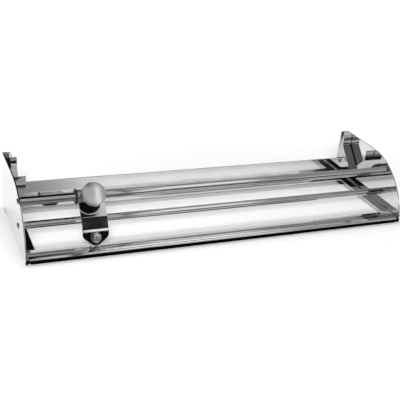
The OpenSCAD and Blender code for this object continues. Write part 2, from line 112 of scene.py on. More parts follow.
def linear(code, strength=1.0):
    """The linear colour of an sRGB hex code."""
    shades = [int(code[i : i + 2], 16) / 255 for i in (1, 3, 5)]
    curve = [s / 12.92 if s <= 0.04045 else ((s + 0.055) / 1.055) ** 2.4 for s in shades]
    return (*[c * strength for c in curve], 1.0)


def put(tree, kind, inputs=None, stops=(), **settings):
    """Adds a node, sets its properties, and gives each named input a value or a link.

    A colour ramp takes its stops as (place, hex code).
    """
    made = tree.nodes.new(kind)
    for key, value in settings.items():
        setattr(made, key, value)
    for key, value in (inputs or {}).items():
        socket = made.inputs[key]
        if isinstance(value, bpy.types.NodeSocket):
            tree.links.new(value, socket)
        else:
            socket.default_value = value
    if stops:
        elements = made.color_ramp.elements
        while len(elements) < len(stops):
            elements.new(0.5)
        for element, (place, code) in zip(elements, stops):
            element.position = place
            element.color = linear(code)
    return made


def fresh_material(name):
    """An empty material: its tree, its coordinates and its output."""
    made = bpy.data.materials.new(name)
    made.use_nodes = True
    made.node_tree.nodes.clear()
    out = put(made.node_tree, "ShaderNodeOutputMaterial")
    place = put(made.node_tree, "ShaderNodeTexCoord").outputs["Object"]
    return made, made.node_tree, place, out


def centre(node):
    """The middle of a node's box."""
    low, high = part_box(node)
    return (low + high) / 2


def mesh_object(name, mesh, material=None):
    """An object at the origin that holds a mesh."""
    made = bpy.data.objects.new(name, mesh)
    bpy.context.scene.collection.objects.link(made)
    if material is not None:
        mesh.materials.clear()
        mesh.materials.append(material)
    return made


def smooth(mesh, angle=FOLD_ANGLE):
    """Smooth shading that breaks at edges sharper than the angle."""
    mesh.shade_smooth()
    mesh.set_sharp_from_angle(angle=math.radians(angle))


def plain_mesh(obj):
    """Turns what the modifiers make of an object into its own plain mesh."""
    bpy.context.view_layer.update()
    seen = obj.evaluated_get(bpy.context.evaluated_depsgraph_get())
    made = bpy.data.meshes.new_from_object(seen)
    made.name = obj.name
    obj.modifiers.clear()
    obj.data = made
    return obj


def finish_piece(obj, body, slot, *nodes):
    """The piece rides on a body and stands for the nodes, which it hides; its slot is not used.
    """
    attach(obj, body)
    if nodes:
        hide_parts(*nodes)


def turned(rings, sides):
    """A closed mesh of rings about Z, where a ring of radius zero closes it to a point.

    A ring is (radius, height), or (half the width across flats, height, number of flats).
    """
    bm = bmesh.new()
    loops = []
    for ring in rings:
        radius, height = ring[:2]
        flats = ring[2] if len(ring) > 2 else 0
        if radius == 0:
            loops.append([bm.verts.new((0, 0, height * MM))])
            continue
        loop = []
        for i in range(sides):
            angle = math.tau * i / sides
            reach = radius
            if flats:
                wedge = math.tau / flats
                reach = radius / math.cos((angle + wedge / 2) % wedge - wedge / 2)
            corner = (reach * math.cos(angle) * MM, reach * math.sin(angle) * MM, height * MM)
            loop.append(bm.verts.new(corner))
        loops.append(loop)
    for low, high in zip(loops, loops[1:]):
        for i in range(sides):
            j = (i + 1) % sides
            if len(low) == 1:
                bm.faces.new((low[0], high[j], high[i]))
            elif len(high) == 1:
                bm.faces.new((low[i], low[j], high[0]))
            else:
                bm.faces.new((low[i], low[j], high[j], high[i]))
    if len(loops[0]) > 1 and len(loops[-1]) > 1 and rings[0][:2] == rings[-1][:2]:
        bmesh.ops.remove_doubles(bm, verts=bm.verts, dist=SAME_POINT)
    bmesh.ops.recalc_face_normals(bm, faces=bm.faces)
    mesh = bpy.data.meshes.new("turned")
    bm.to_mesh(mesh)
    bm.free()
    return mesh


def rounded(points, r, steps=4):
    """A closed profile of (radius, height) points whose corners are rounded with radius r."""
    out = []
    count = len(points)
    for i, corner in enumerate(points):
        here = Vector(corner)
        back = Vector(points[i - 1]) - here
        ahead = Vector(points[(i + 1) % count]) - here
        reach = min(r, back.length / 2.2, ahead.length / 2.2)
        start, end = here + back.normalized() * reach, here + ahead.normalized() * reach
        for s in range(steps + 1):
            t = s / steps
            out.append(tuple((1 - t) ** 2 * start + 2 * t * (1 - t) * here + t * t * end))
    return out + out[:1]


def dressed(node, name, material, edge_r=CUT_EDGE_R, segments=2):
    """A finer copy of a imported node: flat faces merged, folds smooth and cut edges rounded."""
    bm = bmesh.new()
    bm.from_mesh(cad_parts[node].data)
    bmesh.ops.remove_doubles(bm, verts=bm.verts, dist=SAME_POINT)
    flat = math.radians(0.4)
    bmesh.ops.dissolve_limit(bm, angle_limit=flat, verts=bm.verts, edges=bm.edges)
    bmesh.ops.recalc_face_normals(bm, faces=bm.faces)
    mesh = bpy.data.meshes.new(name)
    bm.to_mesh(mesh)
    bm.free()
    for layer in ("custom_normal", "UVMap"):
        if layer in mesh.attributes:
            mesh.attributes.remove(mesh.attributes[layer])
    smooth(mesh)
    made = mesh_object(name, mesh, material)
    bevel = made.modifiers.new("cut edges", "BEVEL")
    bevel.width = edge_r * MM
    bevel.segments = segments
    bevel.limit_method = "ANGLE"
    bevel.angle_limit = math.radians(FOLD_ANGLE)
    bevel.use_clamp_overlap = True
    bevel.harden_normals = True
    weighted = made.modifiers.new("flat faces stay flat", "WEIGHTED_NORMAL")
    weighted.weight = 100
    weighted.keep_sharp = False
    return plain_mesh(made)


# Finishes

METAL = {"Metallic": 1.0}


def marked_surface(tree, out, marks, relief, tints, rough, bump, kind):
    """A surface tinted and roughened between two values by its marks, with a relief of its own.

    bump is the relief's strength and its depth in millimetres, and kind is what sets a metal
    or a plastic apart.
    """
    span = {"From Min": 0.3, "From Max": 0.7, "To Min": rough[0], "To Max": rough[1]}
    sheen = put(tree, "ShaderNodeMapRange", {"Value": marks, **span})
    raised = put(
        tree,
        "ShaderNodeBump",
        {"Height": relief, "Strength": bump[0], "Distance": bump[1] * MM},
    )
    stops = [(0.3, tints[0]), (0.7, tints[1])]
    tint = put(tree, "ShaderNodeValToRGB", {"Fac": marks}, stops=stops)
    shader = put(
        tree,
        "ShaderNodeBsdfPrincipled",
        {
            "Base Color": tint.outputs["Color"],
            "Roughness": sheen.outputs["Result"],
            "Normal": raised.outputs["Normal"],
            **kind,
        },
    )
    tree.links.new(shader.outputs["BSDF"], out.inputs["Surface"])


def polished_sheet(name="mirror_polished_stainless", polish=0.03):
    """Austenitic stainless sheet, rolled, folded and buffed to a mirror.

    The eye sees the room in it, drawn out a little along the buffing lines, with the faint
    waves that rolling leaves and a haze where hands have wiped it.
    """
    made, tree, place, out = fresh_material(name)
    # Buffing lines lie along the sheet, about 0.25 mm apart
    along = put(tree, "ShaderNodeMapping", {"Vector": place, "Scale": (12.0, 4000.0, 4000.0)})
    lines = put(
        tree,
        "ShaderNodeTexNoise",
        {"Vector": along.outputs[0], "Scale": 1.0, "Detail": 2.0},
    )
    # Rolling leaves waves about 45 mm long
    waves = put(tree, "ShaderNodeTexNoise", {"Vector": place, "Scale": 22.0, "Detail": 1.0})
    # Wiping leaves a haze in smears about 15 mm wide
    smears = put(
        tree,
        "ShaderNodeMapping",
        {"Vector": place, "Rotation": (0.0, 0.0, 0.3), "Scale": (25.0, 70.0, 70.0)},
    )
    haze = put(
        tree,
        "ShaderNodeTexNoise",
        {"Vector": smears.outputs[0], "Scale": 1.0, "Detail": 4.0, "Roughness": 0.6},
    )
    span = {"From Min": 0.35, "From Max": 0.75, "To Min": polish, "To Max": polish + 0.04}
    rough = put(tree, "ShaderNodeMapRange", {"Value": haze.outputs["Fac"], **span})
    fine = put(
        tree,
        "ShaderNodeBump",
        {"Height": lines.outputs["Fac"], "Strength": 0.05, "Distance": 0.02 * MM},
    )
    broad = put(
        tree,
        "ShaderNodeBump",
        {
            "Height": waves.outputs["Fac"],
            "Strength": 0.5,
            "Distance": 0.1 * MM,
            "Normal": fine.outputs["Normal"],
        },
    )
    tint = put(
        tree,
        "ShaderNodeValToRGB",
        {"Fac": haze.outputs["Fac"]},
        stops=[(0.3, "#eaeaea"), (0.7, "#e0e0e0")],
    )
    shader = put(
        tree,
        "ShaderNodeBsdfPrincipled",
        {
            "Base Color": tint.outputs["Color"],
            "Roughness": rough.outputs["Result"],
            "Normal": broad.outputs["Normal"],
            **METAL,
        },
    )
    tree.links.new(shader.outputs["BSDF"], out.inputs["Surface"])
    return made


def ground_bar():
    """Centreless-ground stainless bar: a soft sheen with a faint helix of grinding marks."""
    made, tree, place, out = fresh_material("ground_stainless_bar")
    # Drawing lines along the bar, 0.3 mm apart, and grinding marks across it every 0.6 mm
    along = put(tree, "ShaderNodeMapping", {"Vector": place, "Scale": (6.0, 3000.0, 3000.0)})
    drawn = put(
        tree,
        "ShaderNodeTexNoise",
        {"Vector": along.outputs[0], "Scale": 1.0, "Detail": 3.0},
    )
    across = put(tree, "ShaderNodeMapping", {"Vector": place, "Scale": (1600.0, 40.0, 40.0)})
    ground = put(
        tree,
        "ShaderNodeTexNoise",
        {"Vector": across.outputs[0], "Scale": 1.0, "Detail": 2.0},
    )
    both = put(
        tree,
        "ShaderNodeMix",
        {"Factor": 0.35, "A": drawn.outputs["Fac"], "B": ground.outputs["Fac"]},
        data_type="FLOAT",
    )
    marks = both.outputs[0]
    tints = ("#d6d6d6", "#e0e0e0")
    marked_surface(tree, out, marks, marks, tints, (0.05, 0.1), (0.05, 0.02), METAL)
    return made


def turned_satin(middle):
    """Turned and blasted stainless: an even sheen that dims at the edges, over the tool's rings.

    The rings are drawn 0.8 mm apart, coarser than real ones, so that they show.
    """
    made, tree, place, out = fresh_material("satin_turned_stainless")
    centred = put(
        tree,
        "ShaderNodeMapping",
        {"Vector": place, "Location": tuple(-c for c in middle)},
    )
    flat = put(
        tree,
        "ShaderNodeVectorRotate",
        {"Vector": centred.outputs[0], "Angle": -ROOT_SLOPE},
        rotation_type="X_AXIS",
    )
    rings = put(
        tree,
        "ShaderNodeTexWave",
        {"Vector": flat.outputs[0], "Scale": 400.0, "Distortion": 1.0, "Detail": 1.0},
        wave_type="RINGS",
        rings_direction="Z",
    )
    # Blasting leaves pits about 0.2 mm apart
    blast = put(tree, "ShaderNodeTexNoise", {"Vector": place, "Scale": 5000.0, "Detail": 1.0})
    pits = blast.outputs["Fac"]
    both = put(
        tree,
        "ShaderNodeMix",
        {"Factor": 0.6, "A": rings.outputs["Fac"], "B": pits},
        data_type="FLOAT",
    )
    tints = ("#e8e8e8", "#f0f0f0")
    relief = both.outputs[0]
    marked_surface(tree, out, pits, relief, tints, (0.2, 0.26), (0.12, 0.02), METAL)
    return made


def bright_metal(name, light, dark, low, high):
    """Headed, set or welded metal: bright on its crowns, dull where tool or heat marked it."""
    made, tree, place, out = fresh_material(name)
    # Handling marks about 0.8 mm across
    noise = put(
        tree,
        "ShaderNodeTexNoise",
        {"Vector": place, "Scale": 1200.0, "Detail": 3.0, "Roughness": 0.6},
    )
    marks = noise.outputs["Fac"]
    marked_surface(tree, out, marks, marks, (dark, light), (low, high), (0.15, 0.02), METAL)
    return made


def matt_black(name, low, high, ior, grain):
    """Black rubber or nylon, or black painted shade, with a grain of a size in millimetres."""
    made, tree, place, out = fresh_material(name)
    noise = put(
        tree,
        "ShaderNodeTexNoise",
        {"Vector": place, "Scale": 1.0 / (grain * MM), "Detail": 3.0},
    )
    pores = noise.outputs["Fac"]
    tints = ("#17181a", "#232427")
    marked_surface(tree, out, pores, pores, tints, (low, high), (0.3, 0.03), {"IOR": ior})
    return made


def hardened_strip():
    """Hardened strip steel, ground every 0.3 mm or so, which draws the light out in streaks."""
    made, tree, place, out = fresh_material("hardened_strip_steel")
    along = put(tree, "ShaderNodeMapping", {"Vector": place, "Scale": (3500.0, 60.0, 60.0)})
    noise = put(
        tree,
        "ShaderNodeTexNoise",
        {"Vector": along.outputs[0], "Scale": 1.0, "Detail": 2.0},
    )
    lines = noise.outputs["Fac"]
    tints = ("#bcc0c5", "#cdd0d4")
    marked_surface(tree, out, lines, lines, tints, (0.16, 0.28), (0.1, 0.02), METAL)
    return made


knob_middle = centre("knob")
SHEET = polished_sheet()
TUBE = polished_sheet("satin_stainless_tube", 0.3)
BAR = ground_bar()
KNOB = turned_satin(knob_middle)
STEEL_SCREW = bright_metal("stainless_fastener", "#e6e7e8", "#d4d6d8", 0.06, 0.14)
WELD_METAL = bright_metal("heat_tinted_weld", "#4c4e52", "#2c2d30", 0.3, 0.5)
RIVET_METAL = bright_metal("aluminium_rivet", "#d3d5d7", "#b9bbbe", 0.28, 0.4)
RUBBER = matt_black("moulded_black_rubber", 0.55, 0.75, 1.52, 1 / 3)
# The black that paints shade on the knob's back and low rim
KNOB_SHADE_BLACK = matt_black("black_painted_knob_back", 0.35, 0.5, 1.5, 0.25)
NYLON = matt_black("turned_black_nylon", 0.3, 0.45, 1.53, 2 / 3)
BLADE_STEEL = hardened_strip()


# The folded sheet pieces

for node, name in [
    ("base_tray", "folded_base_tray"),
    ("left_cheek", "left_side_cheek"),
    ("right_cheek", "right_side_cheek"),
    ("left_cradle", "left_roll_cradle"),
    ("right_cradle", "right_roll_cradle"),
]:
    finish_piece(dressed(node, name, SHEET), "frame", "polished_sheet", node)

for node, name, material, edge_r, slot in [
    ("carriage_plate", "cutter_plate", SHEET, CUT_EDGE_R, "polished_sheet"),
    ("blade_clamp", "blade_clamp_plate", BLADE_STEEL, CUT_EDGE_R, "blade_steel"),
    ("blade", "cutter_blade", BLADE_STEEL, 0.05, "blade_steel"),
    ("blade_screw", "cross_recess_screw", STEEL_SCREW, 0.1, "steel_fastener"),
    ("blade_nut", "blade_hex_nut", STEEL_SCREW, CUT_EDGE_R, "steel_fastener"),
    ("blade_washer", "blade_plain_washer", STEEL_SCREW, CUT_EDGE_R, "steel_fastener"),
    ("knob_post", "knob_weld_post", KNOB, CUT_EDGE_R, "satin_knob"),
]:
    finish_piece(dressed(node, name, material, edge_r), "arm", slot, node)

for node in ("front_left_foot", "front_right_foot", "rear_left_foot", "rear_right_foot"):
    pad = dressed(node, f"{node}_pad", RUBBER, edge_r=0.5, segments=3)
    finish_piece(pad, "frame", "black_rubber", node)


# The turned pieces


def lay_along_x(mesh, x, axis):
    """Turns a mesh from Z to X and sets it on an axis given in Y and Z."""
    turn = Matrix.Rotation(math.pi / 2, 4, "Y")
    mesh.transform(Matrix.Translation((x, axis[0], axis[1])) @ turn)
    return mesh


def round_piece(node, name, bore_d, edge_r, material, sides=ROD_SIDES):
    """A tube or bar along X that fills a node's box."""
    low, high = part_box(node)
    middle = (low + high) / 2
    length = (high.x - low.x) / MM
    radius = (high.z - low.z) / 2 / MM
    bore = bore_d / 2
    if bore:
        profile = rounded([(bore, 0), (radius, 0), (radius, length), (bore, length)], edge_r)
    else:
        # A rounded corner has five points, and the two on the axis give way to single ones
        outline = rounded([(0, 0), (radius, 0), (radius, length), (0, length)], edge_r)
        profile = [(0, 0)] + outline[5:15] + [(0, length)]
    mesh = lay_along_x(turned(profile, sides), low.x, (middle.y, middle.z))
    smooth(mesh)
    return mesh_object(name, mesh, material)


for node, name, bore_d, edge_r, material, body, slot in [
    ("upper_rod", "upper_guide_rod", 0, 0.4, BAR, "frame", "ground_rod"),
    ("lower_rod", "lower_film_rod", 0, 0.4, BAR, "frame", "ground_rod"),
    ("slide_tube", "sliding_tube", TUBE_BORE_D, 0.25, TUBE, "arm", "polished_sheet"),
]:
    finish_piece(round_piece(node, name, bore_d, edge_r, material), body, slot, node)


def flanged_bush(node, name, flange_t, flange_at_start):
    """A plastic bush with a flange at one end."""
    low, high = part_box(node)
    middle = (low + high) / 2
    length = (high.x - low.x) / MM
    flange_r = (high.z - low.z) / 2 / MM
    bore, wall = BUSH_BORE_D / 2, BUSH_WALL_D / 2
    if flange_at_start:
        flange = [(bore, 0), (flange_r, 0), (flange_r, flange_t), (wall, flange_t)]
        points = flange + [(wall, length), (bore, length)]
    else:
        step = length - flange_t
        flange = [(wall, step), (flange_r, step), (flange_r, length), (bore, length)]
        points = [(bore, 0), (wall, 0)] + flange
    mesh = lay_along_x(turned(rounded(points, 0.2), 64), low.x, (middle.y, middle.z))
    smooth(mesh)
    made = mesh_object(name, mesh, NYLON)
    finish_piece(made, "slider", "black_nylon", node)


flanged_bush("left_slide_bush", "left_flanged_bush", LEFT_FLANGE_T, True)
flanged_bush("right_slide_bush", "right_flanged_bush", RIGHT_FLANGE_T, False)


def domed_knob():
    """The turned knob, on the axis that stands square to the upper part of the plate.

    Its back and the lower part of its rim are black, which paints the shade that lies there, and
    the plate mirrors that painted shade.
    """
    r, t, edge, bore = KNOB_D / 2, KNOB_T, KNOB_EDGE_R, KNOB_THREAD_D / 2
    depth = KNOB_THREAD_DEPTH
    rings = [(0, depth), (bore, depth), (bore, 0.3), (bore + 0.3, 0)]
    quarter = [math.pi / 16 * i for i in range(9)]
    rings += [(r - edge + edge * math.sin(a), edge - edge * math.cos(a)) for a in quarter]
    sixth = [math.pi / 24 * i for i in range(9)]
    rings += [(r - edge + edge * math.cos(a), t - edge + edge * math.sin(a)) for a in sixth]
    # The dome starts where the rounded edge ends
    face_r, face_h = rings[-1]
    top = t + KNOB_RISE
    steps = 24
    for i in range(1, steps):
        reach = 1 - i / steps
        rings.append((face_r * reach, face_h + (top - face_h) * (1 - reach**2)))
    rings.append((0, top))
    mesh = turned(rings, 128)
    mesh.materials.append(KNOB)
    mesh.materials.append(KNOB_SHADE_BLACK)
    # The back and the low rim take the black painted shade
    for face in mesh.polygons:
        face.material_index = 1 if face.center.z < KNOB_SHADE_H * MM else 0
    rod = centre("upper_rod")
    turn = Matrix.Rotation(ROOT_SLOPE, 4, "X")
    stand_off = turn @ Vector((0, -KNOB_OFFSET * MM, KNOB_BACK_H * MM))
    middle = Vector((knob_middle.x, rod.y, rod.z)) + stand_off
    mesh.transform(Matrix.Translation(middle) @ turn)
    smooth(mesh, 40)
    return mesh_object("domed_slide_knob", mesh)


finish_piece(domed_knob(), "arm", "satin_knob", "knob")


# The fasteners that repeat


def button_screw_mesh():
    """A socket button screw whose domed head faces +Z and whose seat is at zero."""
    head, edge = SCREW_HEAD_D / 2, SCREW_HEAD_H / 8
    socket, floor = SOCKET_W / 2, SCREW_HEAD_H - SOCKET_DEPTH
    rise = SCREW_HEAD_H - edge
    shank, tip = SCREW_D / 2, 0.3 - SCREW_LEN
    rings = [(0, tip), (shank - 0.4, tip), (shank, 0.7 - SCREW_LEN), (shank, 0)]
    rings += [(head - edge, 0), (head - 0.3 * edge, 0.3 * edge), (head, edge)]
    lip = math.acos((socket + 0.35) / head)
    dome = [lip * i / 10 for i in range(1, 11)]
    rings += [(head * math.cos(a), edge + rise * math.sin(a)) for a in dome]
    brim = rings[-1][1]
    # A socket with six flats that ends in a cone
    rings += [(socket, brim - 0.2, 6), (socket, floor + 0.1, 6)]
    rings += [(socket * 0.8, floor), (0, floor - 0.4)]
    mesh = turned(rings, 48)
    smooth(mesh)
    return mesh


def blind_rivet_mesh():
    """A blind rivet: a low domed head that faces -Z, and its closed end beyond the two sheets."""
    head, height = RIVET_HEAD_D / 2, RIVET_HEAD_H
    shank, bulge = RIVET_D / 2, RIVET_D * 0.7
    grip, tail = 2 * SHEET_T, RIVET_TAIL_H
    rings = [(0, 0.1 - height / 2), (RIVET_D / 4, 0.1 - height / 2), (RIVET_D / 4 + 0.1, -height)]
    shares = (0.5, 0.65, 0.8, 0.92, 1.0)
    rings += [(head * s, -height * math.sqrt(1 - s * s * 0.92)) for s in shares]
    rings += [(head, 0), (shank, 0), (shank, grip), (bulge, grip)]
    rings += [(bulge * math.cos(a), grip + tail * math.sin(a)) for a in (0.35, 0.75, 1.15)]
    rings += [(0, grip + tail)]
    mesh = turned(rings, 40)
    smooth(mesh)
    return mesh


def fastener_tree():
    """A tree that sets one fastener on each point, along its heading, each turned by chance."""
    tree = bpy.data.node_groups.new("fasteners on points", "GeometryNodeTree")
    face = tree.interface
    face.new_socket("Geometry", in_out="INPUT", socket_type="NodeSocketGeometry")
    face.new_socket("Fastener", in_out="INPUT", socket_type="NodeSocketObject")
    face.new_socket("Material", in_out="INPUT", socket_type="NodeSocketMaterial")
    face.new_socket("Seed", in_out="INPUT", socket_type="NodeSocketInt")
    face.new_socket("Geometry", in_out="OUTPUT", socket_type="NodeSocketGeometry")
    given = put(tree, "NodeGroupInput")
    heading = put(
        tree,
        "GeometryNodeInputNamedAttribute",
        {"Name": "heading"},
        data_type="FLOAT_VECTOR",
    )
    aimed = put(
        tree,
        "FunctionNodeAlignRotationToVector",
        {"Vector": heading.outputs["Attribute"]},
        axis="Z",
    )
    chance = put(
        tree,
        "FunctionNodeRandomValue",
        {"Min": (0.0, 0.0, 0.0), "Max": (0.0, 0.0, math.tau), "Seed": given.outputs["Seed"]},
        data_type="FLOAT_VECTOR",
    )
    spun = put(
        tree,
        "FunctionNodeRotateRotation",
        {"Rotation": aimed.outputs[0], "Rotate By": chance.outputs[0]},
        rotation_space="LOCAL",
    )
    shape = put(tree, "GeometryNodeObjectInfo", {"Object": given.outputs["Fastener"]})
    copies = put(
        tree,
        "GeometryNodeInstanceOnPoints",
        {
            "Points": given.outputs["Geometry"],
            "Instance": shape.outputs["Geometry"],
            "Rotation": spun.outputs[0],
        },
    )
    real = put(tree, "GeometryNodeRealizeInstances", {"Geometry": copies.outputs[0]})
    dressed_copies = put(
        tree,
        "GeometryNodeSetMaterial",
        {"Geometry": real.outputs[0], "Material": given.outputs["Material"]},
    )
    put(tree, "NodeGroupOutput", {"Geometry": dressed_copies.outputs[0]})
    return tree


def apply_tree(obj, tree, values):
    """Runs a tree on an object with the named inputs and keeps the result as a plain mesh."""
    modifier = obj.modifiers.new(tree.name, "NODES")
    modifier.node_group = tree
    for item in tree.interface.items_tree:
        if item.in_out == "INPUT" and item.name in values:
            modifier[item.identifier] = values[item.name]
    plain_mesh(obj)


def fasteners(name, shape, places, heading, material, seed):
    """One mesh that holds a fastener at every place, all facing the same way."""
    pattern = mesh_object(f"{name}_pattern", shape)
    points = bpy.data.meshes.new(name)
    points.from_pydata([tuple(p) for p in places], [], [])
    layer = points.attributes.new("heading", "FLOAT_VECTOR", "POINT")
    for item in layer.data:
        item.vector = heading
    made = mesh_object(name, points)
    apply_tree(made, FASTENERS, {"Fastener": pattern, "Material": material, "Seed": seed})
    bpy.data.objects.remove(pattern)
    return made


FASTENERS = fastener_tree()
rod_axes = [centre("upper_rod"), centre("lower_rod")]
for side, outward in (("left", -1), ("right", 1)):
    low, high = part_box(f"{side}_cheek")
    face_x = low.x if outward < 0 else high.x
    places = [(face_x, axis.y, axis.z) for axis in rod_axes]
    name = f"{side}_socket_button_screws"
    shape = button_screw_mesh()
    screws = fasteners(name, shape, places, (outward, 0, 0), STEEL_SCREW, 3 + outward)
    finish_piece(screws, "frame", "steel_fastener", f"{side}_rod_screws")

rivet_low, rivet_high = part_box("wall_rivets")
rivet_x = rivet_high.x - RIVET_HEAD_D / 2 * MM
rivet_z = (rivet_low.z + rivet_high.z) / 2
wall_face_y = rivet_low.y + RIVET_HEAD_H * MM
rivet_places = [(side * rivet_x, wall_face_y, rivet_z) for side in (-1, 1)]
rivet_shape = blind_rivet_mesh()
rivets = fasteners("rear_wall_rivets", rivet_shape, rivet_places, (0, 1, 0), RIVET_METAL, 5)
finish_piece(rivets, "frame", "rivet_metal", "wall_rivets")


# The weld beads that hold the roll cradles to the cheeks


def weld_tree():
    """A tree that lays overlapping beads along a path, each a little larger or smaller."""
    tree = bpy.data.node_groups.new("beads along a path", "GeometryNodeTree")
    face = tree.interface
    face.new_socket("Geometry", in_out="INPUT", socket_type="NodeSocketGeometry")
    face.new_socket("Bead", in_out="INPUT", socket_type="NodeSocketObject")
    face.new_socket("Step", in_out="INPUT", socket_type="NodeSocketFloat")
    face.new_socket("Material", in_out="INPUT", socket_type="NodeSocketMaterial")
    face.new_socket("Seed", in_out="INPUT", socket_type="NodeSocketInt")
    face.new_socket("Geometry", in_out="OUTPUT", socket_type="NodeSocketGeometry")
    given = put(tree, "NodeGroupInput")
    path = put(tree, "GeometryNodeMeshToCurve", {"Mesh": given.outputs["Geometry"]})
    stations = put(
        tree,
        "GeometryNodeCurveToPoints",
        {"Curve": path.outputs[0], "Length": given.outputs["Step"]},
        mode="LENGTH",
    )
    chance = put(
        tree,
        "FunctionNodeRandomValue",
        {"Min": (0.9, 0.9, 0.9), "Max": (1.05, 1.05, 1.05), "Seed": given.outputs["Seed"]},
        data_type="FLOAT_VECTOR",
    )
    shape = put(tree, "GeometryNodeObjectInfo", {"Object": given.outputs["Bead"]})
    copies = put(
        tree,
        "GeometryNodeInstanceOnPoints",
        {
            "Points": stations.outputs["Points"],
            "Instance": shape.outputs["Geometry"],
            "Scale": chance.outputs[0],
        },
    )
    real = put(tree, "GeometryNodeRealizeInstances", {"Geometry": copies.outputs[0]})
    beads = put(
        tree,
        "GeometryNodeSetMaterial",
        {"Geometry": real.outputs[0], "Material": given.outputs["Material"]},
    )
    put(tree, "NodeGroupOutput", {"Geometry": beads.outputs[0]})
    return tree


def weld_bead_mesh():
    """One round bead."""
    arcs = [math.pi * i / 8 - math.pi / 2 for i in range(1, 8)]
    rings = [(0, -WELD_R)]
    rings += [(WELD_R * math.cos(a), WELD_R * math.sin(a)) for a in arcs]
    rings += [(0, WELD_R)]
    mesh = turned(rings, 12)
    smooth(mesh, 60)
    return mesh


def cradle_weld(side, outward):
    """The weld along a cradle's edge, on its cheek's inner face, from leg top to leg top."""
    low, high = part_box(f"{side}_cradle")
    wall_x = low.x if outward < 0 else high.x
    half = SHEET_T / 2 * MM
    front_y, rear_y = low.y + half, high.y - half
    middle_y = (front_y + rear_y) / 2
    # The legs stand straight above the shoulders, and the flats of the V fall at 45 degrees
    bottom_z = low.z + SHEET_T * MM
    shoulder_z = bottom_z + (middle_y - front_y)
    top_z = high.z - WELD_R * MM
    places = [(front_y, top_z), (front_y, shoulder_z), (middle_y, bottom_z)]
    places += [(rear_y, shoulder_z), (rear_y, top_z)]
    path = bpy.data.meshes.new(f"{side}_cradle_weld")
    path.from_pydata([(wall_x, y, z) for y, z in places], [(i, i + 1) for i in range(4)], [])
    made = mesh_object(f"{side}_cradle_weld", path)
    bead = mesh_object("weld_bead", weld_bead_mesh())
    values = {"Bead": bead, "Step": WELD_STEP * MM, "Material": WELD_METAL, "Seed": 7 + outward}
    apply_tree(made, WELDS, values)
    bpy.data.objects.remove(bead)
    finish_piece(made, "frame", "polished_sheet")


WELDS = weld_tree()
cradle_weld("left", -1)
cradle_weld("right", 1)


# The studio: a pale floor, a soft lamp, and the room that polished metal mirrors


def studio_floor():
    """A white floor that keeps the contact shadow, with a deeper shade painted into its colour
    before the lip.
    """
    made, tree, place, out = fresh_material("white_studio_floor")
    seen = put(tree, "ShaderNodeLightPath")
    by_eye_or_gloss = put(
        tree,
        "ShaderNodeMath",
        {0: seen.outputs["Is Camera Ray"], 1: seen.outputs["Is Glossy Ray"]},
        operation="MAXIMUM",
    )
    shown = put(
        tree,
        "ShaderNodeMath",
        {0: by_eye_or_gloss.outputs[0], 1: seen.outputs["Is Transmission Ray"]},
        operation="MAXIMUM",
    )
    # Away from the stand the floor glows, so that it stays white where the lamps fall off
    away = put(tree, "ShaderNodeVectorMath", {0: place, 1: (1.0, 1.6, 1.0)}, operation="MULTIPLY")
    reach = put(tree, "ShaderNodeVectorMath", {0: away.outputs[0]}, operation="LENGTH")
    span = {"From Min": 0.2, "From Max": 1.1, "To Min": FLOOR_GLOW, "To Max": FAR_FLOOR_GLOW}
    glowing = put(
        tree,
        "ShaderNodeMapRange",
        {"Value": reach.outputs["Value"], **span},
        interpolation_type="SMOOTHSTEP",
    )
    level = put(
        tree,
        "ShaderNodeMath",
        {0: shown.outputs[0], 1: glowing.outputs["Result"]},
        operation="MULTIPLY",
    )
    glow = put(
        tree,
        "ShaderNodeEmission",
        {"Color": linear("#ffffff"), "Strength": level.outputs[0]},
    )
    # Before the front lip a deeper contact shadow is painted into the floor's colour by ambient
    # occlusion
    parts = put(tree, "ShaderNodeSeparateXYZ", {0: place})
    before = put(tree, "ShaderNodeMath", {0: parts.outputs["Y"], 1: LIP_Y}, operation="LESS_THAN")
    shaded = put(
        tree,
        "ShaderNodeAmbientOcclusion",
        {"Color": FLOOR_WHITE, "Distance": LIP_SHADOW},
        samples=8,
    )
    white = put(
        tree,
        "ShaderNodeMix",
        {"Factor": before.outputs[0], "A": FLOOR_WHITE, "B": shaded.outputs["Color"]},
        data_type="RGBA",
    )
    paint = put(tree, "ShaderNodeBsdfDiffuse", {"Color": white.outputs["Result"]})
    both = put(tree, "ShaderNodeAddShader", {0: paint.outputs[0], 1: glow.outputs[0]})
    tree.links.new(both.outputs[0], out.inputs["Surface"])
    half = 4.0
    corners = [(-half, -half, 0), (half, -half, 0), (half, half, 0), (-half, half, 0)]
    mesh = bpy.data.meshes.new("studio_floor")
    mesh.from_pydata(corners, [], [(0, 1, 2, 3)])
    floor = mesh_object("studio_floor", mesh, made)


def between(tree, value, low, high, edge):
    """One where a value lies between low and high and zero elsewhere, with soft edges."""
    rising = put(
        tree,
        "ShaderNodeMapRange",
        {"Value": value, "From Min": low - edge, "From Max": low + edge},
        interpolation_type="SMOOTHSTEP",
    )
    falling = put(
        tree,
        "ShaderNodeMapRange",
        {
            "Value": value,
            "From Min": high - edge,
            "From Max": high + edge,
            "To Min": 1.0,
            "To Max": 0.0,
        },
        interpolation_type="SMOOTHSTEP",
    )
    both = {0: rising.outputs["Result"], 1: falling.outputs["Result"]}
    return put(tree, "ShaderNodeMath", both, operation="MULTIPLY").outputs[0]


